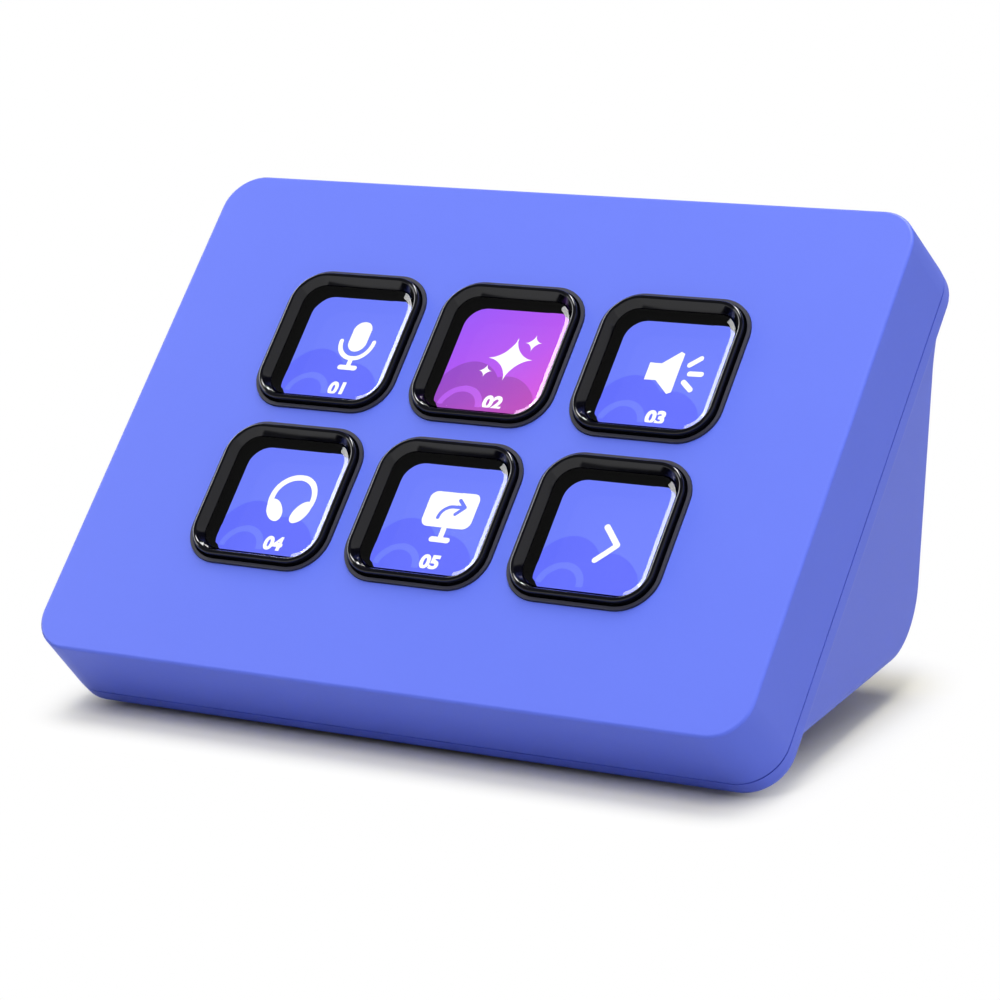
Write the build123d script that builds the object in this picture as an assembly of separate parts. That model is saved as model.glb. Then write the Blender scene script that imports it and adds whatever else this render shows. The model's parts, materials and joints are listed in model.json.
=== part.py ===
from build123d import *
from math import atan, cos, degrees, radians, sin, sqrt, tan
import os

# A wedge-shaped desk keypad: six clear keys over one display, in a two-part plastic
# housing that leans back on a rubber foot. Millimetres and degrees.
#
# Two frames are used. The face frame has X to the right, Y up the sloping face and Z
# straight out of it, with its origin at the middle of the face. The desk frame has
# +Z up from the desk, -Y towards the user, and its origin under the middle.

# ---- Key grid -------------------------------------------------------------------
columns = 3
rows = 2
key_pitch = 19.05
key_travel = 1.0

# ---- Face and front shell -------------------------------------------------------
side_margin = 12.925        # face beyond the outer key cells, left and right
end_margin = 10.85          # face beyond the outer key cells, top and bottom
face_corner_radius = 4.2
face_edge_round = 0.35
face_tilt = 45.0            # face against the desk
side_flare = 0.5            # how far each side opens out towards the parting line
band_depth = 8.4            # face to parting line
face_wall = 1.5
front_side_wall = 1.6

# ---- Rear shell -----------------------------------------------------------------
parting_gap = 0.2
lip_thickness = 2.6
lip_round = 1.0
neck_step = 0.2             # how far the body starts inside the lip
neck_overlap = 0.4          # how deep the neck curve runs into the lip
sweep_margin = 0.2          # straight left between the lip and the hollow curve
side_draft = 7.1
sweep_radius = 20.0         # hollow curve from the lip down into the back wall
toe_radius = 5.0            # hollow curve from the lip into the base
heel_radius = 7.0           # back wall into base
rear_edge_round = 1.6
back_wall_setback = 3.35    # back wall behind the top edge of the face
base_height = 4.3           # base above the desk
lip_clearance = 0.4         # lip above the desk
rear_wall = 2.2
profile_overrun = 4.4       # body drawn on past the parting, then cut back to it
tongue_thickness = 1.2
tongue_height = 1.5
tongue_root = 0.6           # tongue sunk into the lip
tongue_clearance = 0.15

# ---- Key collars and their frame ------------------------------------------------
rim_spacing = 3.15          # between neighbouring rims
rim_corner_radius = 3.6
key_gap = 0.2               # round the key, inside its collar
collar_wall = 0.35
collar_proud = 0.25
collar_clearance = 0.05     # collar inside the shell opening
frame_plate_thickness = 0.6
frame_margin = 1.3          # frame plate beyond the outer key cells
post_radius = 0.6

# ---- Keys -----------------------------------------------------------------------
rim_proud = 1.0             # crest above the face
rim_round = 0.22
crest_width = 0.3           # outer side of the rim to the top of the bevel
bevel_width = 0.8
bevel_drop = 1.1            # crest down to the edge of the lens
flange_spacing = 0.75       # between neighbouring flanges
flange_corner_radius = 1.2
flange_thickness = 0.6
flange_float = 0.05         # flange under the frame plate
lens_glue_gap = 0.05
lens_dish_radius = 70.0
lens_set_down = 0.05        # lens edge below the foot of the bevel

# ---- Rubber domes ---------------------------------------------------------------
dome_height = 1.25
dome_gap = 0.05             # dome tip under the key flange
dome_base_radius = 1.1
dome_tip_radius = 0.65
dome_inset = 1.3            # middle of a dome inside the edge of its mat
dome_wall = 0.25
dome_roof = 0.5
mat_spacing = 0.45          # between neighbouring mats
mat_thickness = 0.3
mat_corner_radius = 2.5
mat_rim_width = 0.85

# ---- Switch board and display ---------------------------------------------------
board_thickness = 0.5
board_side_margin = 5.4     # board beyond the outer key cells
board_end_margin = 1.55
board_corner_radius = 1.5
window_clearance = 0.25     # board window round the key skirt
display_gap = 0.05
key_to_display = 0.3        # pressed key above the display
display_side_margin = 1.6
display_end_margin = 1.4
display_glass_thickness = 1.1
display_corner_radius = 0.8
backlight_thickness = 1.6
backlight_rim = 0.6
flex_width = 12.0
flex_thickness = 0.2
flex_bend_radius = 0.8
flex_window_gap = 2.0       # flat cable above the lower edge of the chassis window
flex_run = 6.0              # flat cable up along the main board
flex_clearance = 0.05
flex_socket_height = 3.4
flex_socket_depth = 1.4
flex_socket_grip = 2.0      # end of the flat cable inside its socket

# ---- Chassis, main board and ballast --------------------------------------------
chassis_thickness = 0.8
chassis_clearance = 0.3     # chassis inside the tongue
chassis_bend_radius = 1.0
chassis_corner_radius = 2.0
chassis_toe_room = 0.4      # cavity of the rear shell in front of the bend
chassis_window_width = 28.0
chassis_window_height = 14.0
flange_back_gap = 4.2       # flange in front of the inside of the back wall
base_flange_side_gap = 8.0
chassis_toe_length = 0.8    # full width behind the bend before the flange narrows
seat_gap = 0.05             # between plates that lie on one another
standoff_height = 4.0
standoff_radius = 2.0
main_board_width = 56.0
main_board_height = 23.0
main_board_thickness = 1.2
main_board_rise = 1.0       # middle of the board above the middle of the face
main_board_hole_inset = 2.6
processor_size = 10.0
processor_thickness = 1.0
processor_x = -6.0
memory_width = 8.0
memory_height = 6.0
memory_thickness = 0.9
memory_x = 6.0
regulator_size = 4.0
regulator_thickness = 1.1
power_x = 16.5              # regulator and coil, right of the board's middle
coil_size = 4.5
coil_thickness = 1.8
crystal_width = 3.2
crystal_height = 2.5
crystal_thickness = 0.8
chip_rise = 3.0             # upper row of packages above the board's middle
chip_corner_radius = 0.4
header_width = 12.5
header_height = 4.5
header_depth = 3.0
header_wall = 0.8
header_drop = 6.0           # header below the board's middle
ballast_thickness = 2.5
ballast_inset = 2.0         # ballast inside the sides and back of the base flange
ballast_set_back = 5.0      # ballast behind the bend
ballast_corner_radius = 1.5

# ---- Screws ---------------------------------------------------------------------
screw_clearance = 0.05
pilot_spare = 0.3           # pilot hole deeper than its screw
head_clearance = 0.3        # pocket round a screw head
shell_boss_radius = 2.7
shell_boss_gap = 0.5        # boss inside the tongue
shell_screw_radius = 1.0
shell_screw_head_radius = 2.0
shell_screw_head_height = 1.2
shell_screw_length = 6.5
board_boss_radius = 2.0
board_boss_inset = 1.8      # middle of the boss inside the board's side
board_screw_radius = 0.7
board_screw_head_radius = 1.5
board_screw_head_height = 0.8
board_screw_length = 2.4
stand_screw_radius = 0.8
stand_screw_head_radius = 1.6
stand_screw_head_height = 0.9
stand_screw_length = 4.2
base_screw_radius = 1.1
base_screw_head_radius = 2.0
base_screw_head_height = 1.2
base_screw_inset = 4.5      # from the edges of the foot pad
screw_point_angle = 30.0
driver_recess_radius = 0.6
driver_recess_depth = 0.5

# ---- Foot pad and cable gland ---------------------------------------------------
pad_recess = 0.8
pad_clearance = 0.15
pad_side_inset = 13.0       # pad inside the base, left and right
pad_front_inset = 4.5
pad_back_inset = 2.3        # pad in front of the heel
pad_corner_radius = 3.0
pad_edge_chamfer = 0.6
gland_bore_radius = 2.1
gland_neck_radius = 3.4
gland_flange_radius = 4.6
gland_flange_thickness = 1.0
gland_clearance = 0.05
gland_edge_round = 0.35

# ---- Worked out from the sizes above --------------------------------------------
rim_size = key_pitch - rim_spacing
flange_size = key_pitch - flange_spacing
mat_size = key_pitch - mat_spacing
dome_offset = mat_size / 2 - dome_inset
grid_width = columns * key_pitch
grid_height = rows * key_pitch
face_width = grid_width + 2 * side_margin
face_height = grid_height + 2 * end_margin
lip_width = face_width + 2 * side_flare
lip_height = face_height + 2 * side_flare
lip_corner_radius = face_corner_radius + side_flare
cavity_width = face_width - 2 * front_side_wall
cavity_height = face_height - 2 * front_side_wall
cavity_corner_radius = face_corner_radius - front_side_wall

tilt_sin = sin(radians(face_tilt))
tilt_cos = cos(radians(face_tilt))
draft_tan = tan(radians(side_draft))

lip_back_z = -(band_depth + lip_thickness)
rear_front_z = -(band_depth + parting_gap)

frame_back_z = -(face_wall + frame_plate_thickness)
flange_top_z = frame_back_z - flange_float
flange_back_z = flange_top_z - flange_thickness
board_front_z = flange_back_z - dome_gap - dome_height
board_back_z = board_front_z - board_thickness
display_front_z = board_back_z - display_gap
display_back_z = display_front_z - display_glass_thickness
backlight_back_z = display_back_z - backlight_thickness
chassis_front_z = backlight_back_z - seat_gap
chassis_back_z = chassis_front_z - chassis_thickness
main_board_front_z = chassis_back_z - standoff_height
main_board_back_z = main_board_front_z - main_board_thickness

collar_inner = rim_size + 2 * key_gap
collar_outer = collar_inner + 2 * collar_wall
collar_inner_radius = rim_corner_radius + key_gap
collar_outer_radius = collar_inner_radius + collar_wall
skirt_back_z = display_front_z + key_to_display + key_travel
bevel_foot_z = rim_proud - bevel_drop
well_size = rim_size - 2 * (crest_width + bevel_width)
well_corner_radius = rim_corner_radius - (rim_size - well_size) / 2

# The lip's lowest point stands just clear of the desk, and the origin is under the
# middle of the whole, from the front edge of the face to the back of the lip.
lip_heel_y = lip_height / 2 - lip_round
lip_heel_z = lip_back_z + lip_round
face_z = lip_clearance + lip_round + lip_heel_y * tilt_sin - lip_heel_z * tilt_cos
front_reach = face_height / 2 * tilt_cos - face_edge_round * (tilt_cos + tilt_sin - 1)
back_reach = lip_heel_y * tilt_cos - lip_heel_z * tilt_sin + lip_round
face_y = (front_reach - back_reach) / 2
FACE = Location((0, face_y, face_z), (face_tilt, 0, 0))

back_wall_y = face_y + face_height / 2 * tilt_cos + back_wall_setback
gland_z = base_height + heel_radius + gland_flange_radius + gland_clearance


def on_desk(y, z):
    """Desk-frame (Y, Z) of a point of the face frame."""
    return (
        face_y + y * tilt_cos - z * tilt_sin,
        face_z + y * tilt_sin + z * tilt_cos,
    )


def face_y_at_depth_of_wall(z, wall_y):
    """How far up the face the plane at depth z meets an upright wall."""
    return (wall_y - face_y + z * tilt_sin) / tilt_cos


def face_y_at_depth_of_base(z, base_z):
    """How far up the face the plane at depth z meets a level base."""
    return (base_z - face_z - z * tilt_cos) / tilt_sin


def slab(width, height, radius, z_low, z_high):
    """Rounded plate in the face frame between two depths."""
    return Pos(0, 0, z_low) * extrude(RectangleRounded(width, height, radius), z_high - z_low)


def key_places():
    """Middle of each key, left to right and top to bottom."""
    places = []
    for row in range(rows):
        for column in range(columns):
            x = (column - (columns - 1) / 2) * key_pitch
            y = ((rows - 1) / 2 - row) * key_pitch
            places.append((x, y))
    return places


def cell_corners():
    """Corners of the key cells, where four keys meet or the grid ends."""
    corners = []
    for row in range(rows + 1):
        for column in range(columns + 1):
            corners.append(((column - columns / 2) * key_pitch, (row - rows / 2) * key_pitch))
    return corners


def four(x, y):
    """The four corners of a rectangle about the middle."""
    return [(-x, -y), (x, -y), (x, y), (-x, y)]


shell_boss_inset = tongue_clearance + tongue_thickness + shell_boss_gap + shell_boss_radius
shell_boss_places = four(
    cavity_width / 2 - shell_boss_inset,
    cavity_height / 2 - shell_boss_inset,
)

board_width = grid_width + 2 * board_side_margin
board_height = grid_height + 2 * board_end_margin
board_boss_places = four(
    board_width / 2 - board_boss_inset,
    board_height / 2 - board_boss_radius,
)

stand_x = main_board_width / 2 - main_board_hole_inset
stand_y = main_board_height / 2 - main_board_hole_inset
stand_places = [(x, y + main_board_rise) for x, y in four(stand_x, stand_y)]


# ---- Screws ---------------------------------------------------------------------
def screw(radius, length, head_radius, head_height):
    """Pan-head screw: head seated at z = 0, shank up along +Z, driver recess below."""
    head = Pos(0, 0, -head_height) * extrude(Circle(head_radius), head_height)
    head = chamfer(head.edges().group_by(Axis.Z)[0], head_height / 3)
    shank = extrude(Circle(radius), length - radius)
    point = Pos(0, 0, length - radius) * extrude(Circle(radius), radius, taper=screw_point_angle)
    recess = Pos(0, 0, -head_height) * extrude(
        RegularPolygon(driver_recess_radius, 6), driver_recess_depth
    )
    return head + shank + point - recess


def screws_at(one, places, z):
    """Copies of one screw whose heads seat at depth z of the face frame."""
    return [FACE * Pos(x, y, z) * one for x, y in places]


# ---- Front half -----------------------------------------------------------------
def front_shell():
    """Face and side band in one moulding, with a boss for each screw behind it."""
    flare_angle = degrees(atan(side_flare / band_depth))
    outline = RectangleRounded(face_width, face_height, face_corner_radius)
    body = extrude(outline, -band_depth, taper=-flare_angle)
    body = fillet(body.faces().sort_by(Axis.Z)[-1].edges(), face_edge_round)
    body -= slab(cavity_width, cavity_height, cavity_corner_radius, -band_depth - 1, -face_wall)
    opening = slab(
        collar_outer + 2 * collar_clearance,
        collar_outer + 2 * collar_clearance,
        collar_outer_radius + collar_clearance,
        -face_wall - 1,
        1,
    )
    body -= [Pos(x, y, 0) * opening for x, y in key_places()]
    boss = Pos(0, 0, chassis_front_z) * extrude(
        Circle(shell_boss_radius), -face_wall - chassis_front_z
    )
    pilot_depth = shell_screw_length - chassis_thickness + pilot_spare
    pilot = Pos(0, 0, chassis_front_z) * extrude(
        Circle(shell_screw_radius + screw_clearance), pilot_depth
    )
    body += [Pos(x, y, 0) * boss for x, y in shell_boss_places]
    body -= [Pos(x, y, 0) * pilot for x, y in shell_boss_places]
    small_boss = Pos(0, 0, board_front_z) * extrude(
        Circle(board_boss_radius), -face_wall - board_front_z
    )
    small_pilot = Pos(0, 0, board_front_z) * extrude(
        Circle(board_screw_radius + screw_clearance),
        board_screw_length - board_thickness + pilot_spare,
    )
    body += [Pos(x, y, 0) * small_boss for x, y in board_boss_places]
    body -= [Pos(x, y, 0) * small_pilot for x, y in board_boss_places]
    return FACE * body


def key_frame():
    """Black grid behind the face: a collar round each key, and posts to the board."""
    plate = slab(
        grid_width + 2 * frame_margin,
        grid_height + 2 * frame_margin,
        board_corner_radius,
        frame_back_z,
        -face_wall,
    )
    collar = slab(collar_outer, collar_outer, collar_outer_radius, -face_wall, collar_proud)
    hole = slab(
        collar_inner, collar_inner, collar_inner_radius, frame_back_z - 1, collar_proud + 1
    )
    post = Pos(0, 0, board_front_z) * extrude(
        Circle(post_radius), frame_back_z - board_front_z
    )
    body = plate + [Pos(x, y, 0) * collar for x, y in key_places()]
    body += [Pos(x, y, 0) * post for x, y in cell_corners()]
    body -= [Pos(x, y, 0) * hole for x, y in key_places()]
    return FACE * body


# ---- Keys -----------------------------------------------------------------------
def key_rim():
    """Raised black rim of a key: rounded crest, inner bevel, skirt and stop flange."""
    body = slab(rim_size, rim_size, rim_corner_radius, skirt_back_z, rim_proud)
    body = fillet(body.faces().sort_by(Axis.Z)[-1].edges(), rim_round)
    bevel_size = well_size + 2 * bevel_width
    bevel_angle = degrees(atan(bevel_width / bevel_drop))
    bevel = Pos(0, 0, rim_proud) * extrude(
        RectangleRounded(bevel_size, bevel_size, well_corner_radius + bevel_width),
        -bevel_drop,
        taper=bevel_angle,
    )
    flange = slab(
        flange_size, flange_size, flange_corner_radius, flange_back_z, flange_top_z
    )
    well = slab(well_size, well_size, well_corner_radius, skirt_back_z - 1, bevel_foot_z)
    return body + flange - bevel - well


def key_lens():
    """Clear block of a key, dished on top for the fingertip."""
    size = well_size - 2 * lens_glue_gap
    top_z = bevel_foot_z - lens_set_down
    block = slab(size, size, well_corner_radius - lens_glue_gap, skirt_back_z, top_z)
    corner_reach = sqrt(2) * (size / 2 - well_corner_radius) + well_corner_radius
    dish_rise = sqrt(lens_dish_radius**2 - corner_reach**2)
    return block - Pos(0, 0, top_z + dish_rise) * Sphere(lens_dish_radius)


def key_domes():
    """Silicone mat of one key: four domes on a thin ring round the board window."""
    ring = slab(mat_size, mat_size, mat_corner_radius, 0, mat_thickness)
    hole_size = mat_size - 2 * mat_rim_width
    ring -= slab(hole_size, hole_size, mat_corner_radius, -1, mat_thickness + 1)
    dome = Cone(
        dome_base_radius,
        dome_tip_radius,
        dome_height,
        align=(Align.CENTER, Align.CENTER, Align.MIN),
    )
    mat = ring + [Pos(x, y, 0) * dome for x, y in four(dome_offset, dome_offset)]
    pocket = extrude(Circle(dome_tip_radius - dome_wall), dome_height - dome_roof)
    mat -= [Pos(x, y, 0) * pocket for x, y in four(dome_offset, dome_offset)]
    return Pos(0, 0, board_front_z) * mat


# ---- Switch board and display ---------------------------------------------------
def switch_board():
    """Thin board under the keys with a window for each one."""
    board = slab(board_width, board_height, board_corner_radius, board_back_z, board_front_z)
    window_size = rim_size + 2 * window_clearance
    window = slab(
        window_size,
        window_size,
        rim_corner_radius + window_clearance,
        board_back_z - 1,
        board_front_z + 1,
    )
    board -= [Pos(x, y, 0) * window for x, y in key_places()]
    hole = Pos(0, 0, board_back_z - 1) * extrude(
        Circle(board_screw_radius + 2 * screw_clearance), board_thickness + 2
    )
    board -= [Pos(x, y, 0) * hole for x, y in board_boss_places]
    return FACE * board


display_width = grid_width + 2 * display_side_margin
display_height = grid_height + 2 * display_end_margin


def display_panel():
    """Glass of the display that shows through all the keys."""
    return FACE * slab(
        display_width, display_height, display_corner_radius, display_back_z, display_front_z
    )


def display_backlight():
    """Tray behind the glass, with its light guide sunk inside a raised rim."""
    tray = slab(
        display_width,
        display_height,
        display_corner_radius,
        backlight_back_z,
        display_back_z,
    )
    guide_bed = slab(
        display_width - 2 * backlight_rim,
        display_height - 2 * backlight_rim,
        display_corner_radius,
        display_back_z - backlight_thickness / 2,
        display_back_z + 1,
    )
    return FACE * (tray - guide_bed)


flex_start_y = main_board_rise - chassis_window_height / 2 + flex_window_gap
flex_end_y = flex_start_y + flex_run
flex_end_z = main_board_front_z + flex_socket_depth / 2


def display_flex():
    """Flat cable from the back of the display, through the chassis, to the main board."""
    path = FilletPolyline(
        (0, flex_start_y, backlight_back_z),
        (0, flex_start_y, flex_end_z),
        (0, flex_end_y, flex_end_z),
        radius=flex_bend_radius,
    )
    section = Plane(origin=path @ 0, x_dir=(1, 0, 0), z_dir=path % 0) * Rectangle(
        flex_width, flex_thickness
    )
    return FACE * sweep(section, path=path)


# ---- Chassis and what it carries ------------------------------------------------
chassis_width = cavity_width - 2 * (tongue_clearance + tongue_thickness + chassis_clearance)
chassis_top_y = cavity_height / 2 - tongue_clearance - tongue_thickness - chassis_clearance
base_inside_z = base_height + rear_wall
flange_mid_z = base_inside_z + seat_gap + chassis_thickness / 2
chassis_mid_z = (chassis_front_z + chassis_back_z) / 2
base_flange_width = chassis_width - 2 * base_flange_side_gap
flange_front_y = on_desk(face_y_at_depth_of_base(chassis_mid_z, flange_mid_z), chassis_mid_z)[0]
flange_back_y = back_wall_y - rear_wall - flange_back_gap
ballast_low_z = flange_mid_z + chassis_thickness / 2 + seat_gap
ballast_high_z = ballast_low_z + ballast_thickness

pad_width = lip_width - 2 * neck_step - 2 * pad_side_inset
base_front_y = on_desk(face_y_at_depth_of_base(lip_back_z, base_height), lip_back_z)[0]
pad_front_y = base_front_y + pad_front_inset
pad_back_y = back_wall_y - heel_radius - pad_back_inset
pad_length = pad_back_y - pad_front_y
pad_middle_y = (pad_front_y + pad_back_y) / 2
base_screw_places = [
    (x, y + pad_middle_y)
    for x, y in four(pad_width / 2 - base_screw_inset, pad_length / 2 - base_screw_inset)
]


def chassis():
    """Bent steel sheet: a plate behind the display and a flange along the base."""
    top = on_desk(chassis_top_y, chassis_mid_z)
    path = FilletPolyline(
        (0, top[0], top[1]),
        (0, flange_front_y, flange_mid_z),
        (0, flange_back_y, flange_mid_z),
        radius=chassis_bend_radius + chassis_thickness / 2,
    )
    section = Plane(origin=path @ 0, x_dir=(1, 0, 0), z_dir=path % 0) * Rectangle(
        chassis_width, chassis_thickness
    )
    sheet = sweep(section, path=path)
    sheet &= FACE * slab(
        chassis_width, 2 * chassis_top_y, chassis_corner_radius, -face_height, 0
    )
    through = 4 * chassis_thickness
    notch_length = flange_back_y - flange_front_y
    notch_x = (base_flange_width + base_flange_side_gap) / 2
    notch_y = flange_front_y + chassis_toe_length + notch_length / 2
    notch = Box(base_flange_side_gap, notch_length, through)
    sheet -= [Pos(x, notch_y, flange_mid_z) * notch for x in (-notch_x, notch_x)]
    window = Pos(0, main_board_rise, chassis_mid_z) * Box(
        chassis_window_width, chassis_window_height, through
    )
    shell_hole = Cylinder(shell_screw_radius + 2 * screw_clearance, through)
    stand_hole = Cylinder(stand_screw_radius + screw_clearance, through)
    cuts = [window]
    cuts += [Pos(x, y, chassis_mid_z) * shell_hole for x, y in shell_boss_places]
    cuts += [Pos(x, y, chassis_mid_z) * stand_hole for x, y in stand_places]
    sheet -= [FACE * cut for cut in cuts]
    base_hole = Cylinder(base_screw_radius + 2 * screw_clearance, through)
    sheet -= [Pos(x, y, flange_mid_z) * base_hole for x, y in base_screw_places]
    return sheet


def standoffs():
    """Four hexagonal brass posts between the chassis and the main board."""
    post = Pos(0, 0, main_board_front_z) * extrude(
        RegularPolygon(standoff_radius, 6), standoff_height
    )
    post -= Pos(0, 0, main_board_front_z - 1) * extrude(
        Circle(stand_screw_radius + screw_clearance), standoff_height + 2
    )
    return [FACE * Pos(x, y, 0) * post for x, y in stand_places]


def main_board():
    """Controller board on the standoffs."""
    board = Pos(0, main_board_rise, 0) * slab(
        main_board_width,
        main_board_height,
        board_corner_radius,
        main_board_back_z,
        main_board_front_z,
    )
    hole = Pos(0, 0, main_board_back_z - 1) * extrude(
        Circle(stand_screw_radius + 2 * screw_clearance), main_board_thickness + 2
    )
    board -= [Pos(x, y, 0) * hole for x, y in stand_places]
    return FACE * board


def board_chip(width, height, thickness, x, y):
    """One package on the back of the main board."""
    chip = Pos(x, y + main_board_rise, main_board_back_z - thickness) * extrude(
        RectangleRounded(width, height, chip_corner_radius), thickness
    )
    return FACE * chip


def board_chips():
    """Processor, memory, regulator, power coil and crystal."""
    coil_y = -(coil_size + regulator_size) / 2 + chip_rise - chip_corner_radius
    crystal_x = processor_x - processor_size / 2 - crystal_width
    return [
        board_chip(processor_size, processor_size, processor_thickness, processor_x, chip_rise),
        board_chip(memory_width, memory_height, memory_thickness, memory_x, chip_rise),
        board_chip(regulator_size, regulator_size, regulator_thickness, power_x, chip_rise),
        board_chip(coil_size, coil_size, coil_thickness, power_x, coil_y),
        board_chip(crystal_width, crystal_height, crystal_thickness, crystal_x, chip_rise),
    ]


def cable_header():
    """White five-way header on the back of the main board for the lead's wires."""
    place = Pos(0, main_board_rise - header_drop, main_board_back_z - header_depth)
    block = extrude(Rectangle(header_width, header_height), header_depth)
    pocket = extrude(
        Rectangle(header_width - 2 * header_wall, header_height - 2 * header_wall),
        header_depth - header_wall,
    )
    return FACE * place * (block - pocket)


def flex_socket():
    """Low socket on the front of the main board that takes the flat cable."""
    low_y = flex_end_y - flex_socket_grip
    block = Pos(0, low_y + flex_socket_height / 2, main_board_front_z) * extrude(
        Rectangle(flex_width + flex_socket_height, flex_socket_height), flex_socket_depth
    )
    slit = Pos(0, low_y + flex_clearance, flex_end_z) * Box(
        flex_width + 2 * flex_clearance,
        2 * flex_socket_grip,
        flex_thickness + 2 * flex_clearance,
    )
    return FACE * (block - slit)


def ballast_plate():
    """Steel weight on the base flange, tapped for the base screws."""
    width = base_flange_width - 2 * ballast_inset
    low_y = flange_front_y + ballast_set_back
    high_y = flange_back_y - ballast_inset
    plate = Pos(0, (low_y + high_y) / 2, ballast_low_z) * extrude(
        RectangleRounded(width, high_y - low_y, ballast_corner_radius), ballast_thickness
    )
    hole = Cylinder(base_screw_radius + screw_clearance, 4 * ballast_thickness)
    plate -= [Pos(x, y, ballast_low_z) * hole for x, y in base_screw_places]
    return plate


# ---- Rear half ------------------------------------------------------------------
def nearest_vertex(face, y, z):
    """Vertex of a side profile nearest a point of the desk frame."""
    return face.vertices().sort_by_distance((0, y, z))[0]


def side_profile(inset):
    """Side view of the rear body in the desk frame, drawn in by inset all round."""
    wall_y = back_wall_y - inset
    base_z = base_height + inset
    neck_z = lip_back_z + neck_overlap + inset
    toe_z = neck_z + chassis_toe_room if inset else neck_z
    front_z = rear_front_z + profile_overrun
    top_y = lip_height / 2 - lip_round
    knee_y = face_y_at_depth_of_wall(neck_z, wall_y)
    toe_y = face_y_at_depth_of_base(toe_z, base_z)
    knee = on_desk(knee_y, neck_z)
    heel = (wall_y, base_z)
    toe = on_desk(toe_y, toe_z)
    points = [on_desk(top_y, front_z), on_desk(top_y, neck_z), knee, heel, toe]
    if inset:
        points += [on_desk(toe_y, front_z)]
    else:
        points += [on_desk(-top_y, neck_z), on_desk(-top_y, front_z)]
    profile = Plane.YZ * make_face(Polyline(*points, close=True))
    half_turn = radians(90 - face_tilt) / 2
    knee_room = (top_y - knee_y - sweep_margin) / tan(half_turn)
    knee_radius = min(sweep_radius + inset, knee_room)
    profile = fillet(nearest_vertex(profile, *knee), knee_radius)
    profile = fillet(nearest_vertex(profile, *heel), heel_radius - inset)
    if not inset:
        profile = fillet(nearest_vertex(profile, *toe), toe_radius)
    return profile


def side_plane(inset, side):
    """Drafted side of the rear body in the face frame, side = 1 right or -1 left."""
    angle = radians(side_draft)
    x = lip_width / 2 - neck_step - inset / cos(angle)
    return Plane(
        origin=(side * x, 0, rear_front_z),
        x_dir=(0, 1, 0),
        z_dir=(side * cos(angle), 0, -sin(angle)),
    )


def rear_body(inset):
    """Rear body as a solid in the face frame, drawn in by inset all round."""
    blank = extrude(side_profile(inset), lip_width / 2 + 1, both=True)
    body = FACE.inverse() * blank
    for side in (1, -1):
        body = split(body, bisect_by=side_plane(inset, side), keep=Keep.BOTTOM)
    return body


def on_side(edge):
    """True for an edge of the outer rear body that lies in a drafted side."""
    for place in (0, 0.5, 1):
        point = edge @ place
        x = lip_width / 2 - neck_step + (point.Z - rear_front_z) * draft_tan
        if abs(abs(point.X) - x) > 1e-4:
            return False
    return True


def outer_rear_body():
    """Rear body with the long edges round its back softened, cut off at the parting."""
    body = rear_body(0)
    behind = lip_back_z + neck_overlap
    edges = [e for e in body.edges() if on_side(e) and e.center().Z < behind - 1e-3]
    body = fillet(edges, rear_edge_round)
    inside_lip = slab(
        lip_width - 2 * neck_step,
        lip_height - 2 * neck_step,
        lip_corner_radius - neck_step,
        rear_front_z - face_height,
        rear_front_z,
    )
    return body & inside_lip


def rear_shell():
    """Lip, body, tongue and openings of the rear moulding."""
    lip = slab(lip_width, lip_height, lip_corner_radius, lip_back_z, rear_front_z)
    lip = fillet(lip.faces().sort_by(Axis.Z)[0].edges(), lip_round)
    shell = lip + outer_rear_body() - rear_body(rear_wall)
    tongue_width = cavity_width - 2 * tongue_clearance
    tongue_length = cavity_height - 2 * tongue_clearance
    tongue_radius = cavity_corner_radius - tongue_clearance
    tongue_low_z = rear_front_z - tongue_root
    tongue_high_z = -band_depth + tongue_height
    tongue = slab(tongue_width, tongue_length, tongue_radius, tongue_low_z, tongue_high_z)
    tongue -= slab(
        tongue_width - 2 * tongue_thickness,
        tongue_length - 2 * tongue_thickness,
        tongue_radius - tongue_thickness,
        tongue_low_z - 1,
        tongue_high_z + 1,
    )
    pocket_low_z = chassis_back_z - shell_screw_head_height - head_clearance
    pocket = Pos(0, 0, pocket_low_z) * extrude(
        Circle(shell_screw_head_radius + head_clearance), tongue_high_z - pocket_low_z
    )
    shell -= [Pos(x, y, 0) * pocket for x, y in shell_boss_places]
    shell = FACE * (shell + tongue)
    recess = Pos(0, pad_middle_y, base_height - 1) * extrude(
        RectangleRounded(
            pad_width + 2 * pad_clearance, pad_length + 2 * pad_clearance, pad_corner_radius
        ),
        1 + pad_recess,
    )
    shell -= recess
    base_hole = Cylinder(base_screw_radius + 2 * screw_clearance, 4 * rear_wall)
    shell -= [Pos(x, y, base_height) * base_hole for x, y in base_screw_places]
    gland_hole = Cylinder(gland_neck_radius + gland_clearance, 4 * rear_wall)
    shell -= Pos(0, back_wall_y, gland_z) * Rot(90, 0, 0) * gland_hole
    return shell


def foot_pad():
    """Rubber block let into the base, with a pocket over each screw head."""
    pad = Pos(0, pad_middle_y, 0) * extrude(
        RectangleRounded(pad_width, pad_length, pad_corner_radius), base_height + pad_recess
    )
    pad = chamfer(pad.faces().sort_by(Axis.Z)[0].edges(), pad_edge_chamfer)
    pocket_depth = base_screw_head_height + head_clearance
    pocket = Pos(0, 0, base_height + pad_recess - pocket_depth) * extrude(
        Circle(base_screw_head_radius + head_clearance), pocket_depth + 1
    )
    pad -= [Pos(x, y, 0) * pocket for x, y in base_screw_places]
    return pad


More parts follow.
